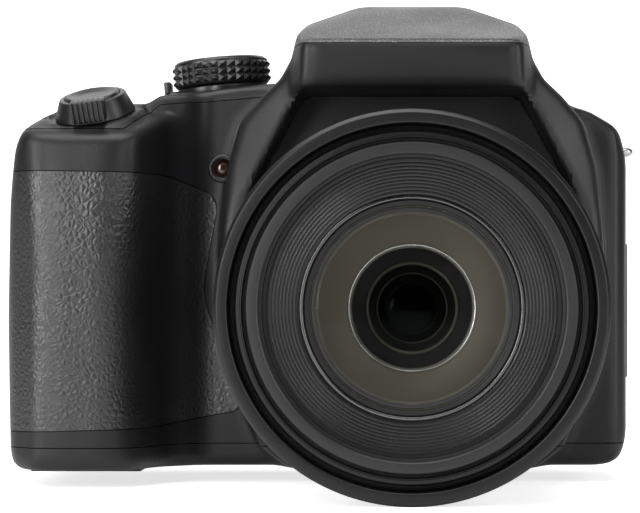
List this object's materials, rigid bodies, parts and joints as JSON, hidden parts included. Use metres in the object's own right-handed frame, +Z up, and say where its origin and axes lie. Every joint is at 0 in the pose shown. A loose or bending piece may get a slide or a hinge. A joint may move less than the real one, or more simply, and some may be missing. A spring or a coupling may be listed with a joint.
{
  "type": "bridge camera",
  "caption": "Bridge camera with a deep hand grip, a wide telescoping zoom lens, a pop-up flash in the hump, an eye-level finder and a fixed rear screen.",
  "frame": {"origin": "centre of the tripod socket in the plane of the base", "axes": "+Z up, the lens looks along -Y, the hand grip is on the -X side and the screen faces +Y"},
  "size_m": [0.1305, 0.1192, 0.0972],
  "materials": {
    "body_plastic": "matte with a fine grain",
    "hump_paint": "fine metallic speckle",
    "grip_rubber": "leather grain",
    "lens_paint": "satin",
    "barrel_plastic": "satin",
    "ring_silver": "bright turned",
    "cell_black": "black anodised",
    "lens_glass": "coated",
    "screen_glass": "gloss",
    "control_black": "satin gloss",
    "steel": "bright",
    "board": "solder mask",
    "sheet": "bare sheet",
    "battery_wrap": "moulded",
    "eyecup_rubber": "soft matte",
    "lamp_lens": "amber",
    "flash_clear": "prismatic",
    "inner_plastic": "moulded",
    "gear_white": "acetal"
  },
  "bodies": {
    "camera": {"front_cover": "body_plastic", "rear_cover": "body_plastic", "top_cover": "body_plastic", "base_cover": "body_plastic", "grip_rubber": "grip_rubber", "thumb_rest": "grip_rubber", "eyecup": "eyecup_rubber", "lens_trim_ring": "lens_paint", "lens_housing": "lens_paint", "iris_unit": "inner_plastic", "rear_glass": "lens_glass", "zoom_motor": "steel", "image_sensor": "board", "battery": "battery_wrap", "main_frame": "sheet", "circuit_boards": "board", "card_slot": "steel", "flash_capacitor": "battery_wrap", "finder_tube": "inner_plastic", "flash_pins": "steel", "eyepiece_lens": "lens_glass", "screen_window": "screen_glass", "screen_panel": "screen_glass", "tripod_socket": "steel", "battery_door_pin": "steel", "case_screws": "steel", "socket_block": "inner_plastic", "strap_lugs": "steel", "focus_lamp": "lamp_lens"},
    "outer_barrel": {"outer_barrel": "barrel_plastic"},
    "inner_barrel": {"inner_barrel": "barrel_plastic", "name_ring": "barrel_plastic", "retaining_ring": "ring_silver", "front_element": "lens_glass", "front_cell": "cell_black"},
    "zoom_group": {"zoom_group": "cell_black", "zoom_glass": "lens_glass"},
    "cam_tube": {"cam_tube": "sheet"},
    "zoom_gear": {"zoom_gear": "gear_white"},
    "flash_lid": {"flash_lid": "hump_paint", "flash_window": "flash_clear"},
    "battery_door": {"battery_door": "body_plastic"},
    "battery_latch": {"battery_latch": "control_black"},
    "side_door": {"side_door": "body_plastic"},
    "diopter_dial": {"diopter_dial": "control_black"},
    "flash_button": {"flash_button": "control_black"},
    "mode_dial": {"mode_dial": "control_black"},
    "power_lever": {"power_lever": "control_black"},
    "zoom_lever": {"zoom_lever": "control_black"},
    "shutter_button": {"shutter_button": "control_black"},
    "rear_dial": {"rear_dial": "control_black"},
    "cursor_pad": {"cursor_pad": "control_black"},
    "set_button": {"set_button": "control_black"},
    "rec_button": {"rec_button": "control_black"},
    "function_button": {"function_button": "control_black"},
    "play_button": {"play_button": "control_black"},
    "lock_button": {"lock_button": "control_black"},
    "display_button": {"display_button": "control_black"},
    "delete_button": {"delete_button": "control_black"},
    "finder_button": {"finder_button": "control_black"}
  },
  "joints": [
    {"name": "outer_barrel_slide", "type": "slide", "parent": "camera", "child": "outer_barrel", "axis": [0, -1, 0], "range_m": [0, 0.032]},
    {"name": "inner_barrel_slide", "type": "slide", "parent": "outer_barrel", "child": "inner_barrel", "axis": [0, -1, 0], "range_m": [0, 0.03]},
    {"name": "zoom_group_slide", "type": "slide", "parent": "camera", "child": "zoom_group", "axis": [0, 1, 0], "range_m": [0, 0.0144]},
    {"name": "cam_turn", "type": "hinge", "parent": "camera", "child": "cam_tube", "pos_m": [0, -0.03, 0.0325], "axis": [0, -1, 0], "range_deg": [0, 110.1]},
    {"name": "zoom_gear_turn", "type": "hinge", "parent": "camera", "child": "zoom_gear", "pos_m": [0.02218, -0.011, 0.04592], "axis": [0, -1, 0], "range_deg": [-640, 0]},
    {"name": "flash_lift", "type": "hinge", "parent": "camera", "child": "flash_lid", "pos_m": [0, -0.002, 0.082], "axis": [-1, 0, 0], "range_deg": [0, 35]},
    {"name": "mode_dial_turn", "type": "hinge", "parent": "camera", "child": "mode_dial", "pos_m": [-0.0395, -0.002, 0.07696], "axis": [-0.0872, 0, 0.9962], "continuous": true},
    {"name": "power_lever_turn", "type": "hinge", "parent": "camera", "child": "power_lever", "pos_m": [-0.0395, -0.002, 0.07696], "axis": [-0.0872, 0, 0.9962], "range_deg": [0, 35]},
    {"name": "zoom_lever_turn", "type": "hinge", "parent": "camera", "child": "zoom_lever", "pos_m": [-0.0636, -0.025, 0.07136], "axis": [-0.1305, -0.3228, 0.9374], "range_deg": [-14, 14], "stiffness_Nm_per_rad": 0.06},
    {"name": "shutter_press", "type": "slide", "parent": "camera", "child": "shutter_button", "axis": [0.1305, 0.3228, -0.9374], "range_m": [0, 0.0009], "stiffness_N_per_m": 900},
    {"name": "rear_dial_turn", "type": "hinge", "parent": "camera", "child": "rear_dial", "pos_m": [-0.0525, 0.0151, 0.0615], "axis": [0, 0, 1], "continuous": true},
    {"name": "diopter_turn", "type": "hinge", "parent": "camera", "child": "diopter_dial", "pos_m": [-0.0226, 0.02, 0.0772], "axis": [0, 1, 0], "range_deg": [-60, 60]},
    {"name": "rec_press", "type": "slide", "parent": "camera", "child": "rec_button", "axis": [0, 0, -1], "range_m": [0, 0.0005], "stiffness_N_per_m": 900},
    {"name": "function_press", "type": "slide", "parent": "camera", "child": "function_button", "axis": [0, 0, -1], "range_m": [0, 0.0005], "stiffness_N_per_m": 900},
    {"name": "flash_press", "type": "slide", "parent": "camera", "child": "flash_button", "axis": [1, 0, 0], "range_m": [0, 0.0005], "stiffness_N_per_m": 900},
    {"name": "pad_press", "type": "slide", "parent": "camera", "child": "cursor_pad", "axis": [0, -1, 0], "range_m": [0, 0.0004], "stiffness_N_per_m": 900},
    {"name": "set_press", "type": "slide", "parent": "camera", "child": "set_button", "axis": [0, -1, 0], "range_m": [0, 0.0005], "stiffness_N_per_m": 900},
    {"name": "play_press", "type": "slide", "parent": "camera", "child": "play_button", "axis": [0, -1, 0], "range_m": [0, 0.0005], "stiffness_N_per_m": 900},
    {"name": "lock_press", "type": "slide", "parent": "camera", "child": "lock_button", "axis": [0, -1, 0], "range_m": [0, 0.0005], "stiffness_N_per_m": 900},
    {"name": "display_press", "type": "slide", "parent": "camera", "child": "display_button", "axis": [0, -1, 0], "range_m": [0, 0.0005], "stiffness_N_per_m": 900},
    {"name": "delete_press", "type": "slide", "parent": "camera", "child": "delete_button", "axis": [0, -1, 0], "range_m": [0, 0.0005], "stiffness_N_per_m": 900},
    {"name": "finder_press", "type": "slide", "parent": "camera", "child": "finder_button", "axis": [0, -1, 0], "range_m": [0, 0.0005], "stiffness_N_per_m": 900},
    {"name": "battery_door_swing", "type": "hinge", "parent": "camera", "child": "battery_door", "pos_m": [-0.0649, 0.0068, 0.0015], "axis": [1, 0, 0], "range_deg": [0, 90]},
    {"name": "battery_latch_slide", "type": "slide", "parent": "battery_door", "child": "battery_latch", "axis": [1, 0, 0], "range_m": [0, 0.004]},
    {"name": "side_door_swing", "type": "hinge", "parent": "camera", "child": "side_door", "pos_m": [0.044, -0.0073, 0.032], "axis": [0, 0, -1], "range_deg": [0, 90]}
  ],
  "couplings": [
    {"joint": "inner_barrel_slide", "follows": "outer_barrel_slide", "ratio": 0.9375},
    {"joint": "zoom_group_slide", "follows": "outer_barrel_slide", "ratio": 0.45},
    {"joint": "cam_turn", "follows": "outer_barrel_slide", "rad_per_m": 60},
    {"joint": "zoom_gear_turn", "follows": "outer_barrel_slide", "rad_per_m": -345}
  ]
}
